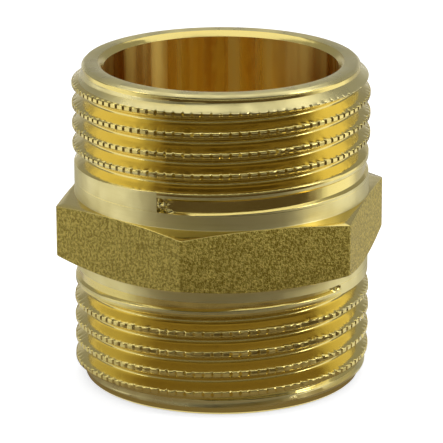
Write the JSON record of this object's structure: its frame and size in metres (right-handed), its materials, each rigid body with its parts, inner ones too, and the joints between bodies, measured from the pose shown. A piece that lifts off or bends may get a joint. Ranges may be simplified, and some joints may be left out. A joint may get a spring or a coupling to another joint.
{
  "type": "hex nipple",
  "caption": "One-piece brass hex nipple: straight male pipe thread at both ends, a hexagon between plain collars and a plain through bore.",
  "frame": {"origin": "middle of the nipple: on the bore's axis, halfway between the two end faces", "axes": "+Z along the bore towards the upper end, whose collar is the taller one; +X through a corner of the hexagon; +Y square to a flat"},
  "size_m": [0.0384, 0.0332, 0.0362],
  "materials": {
    "machined_brass": "bright turned brass on the bore, threads, collars and ends; the six flats are left with a fine blasted grain"
  },
  "bodies": {
    "root": {"nipple_body": "machined_brass"}
  },
  "joints": []
}
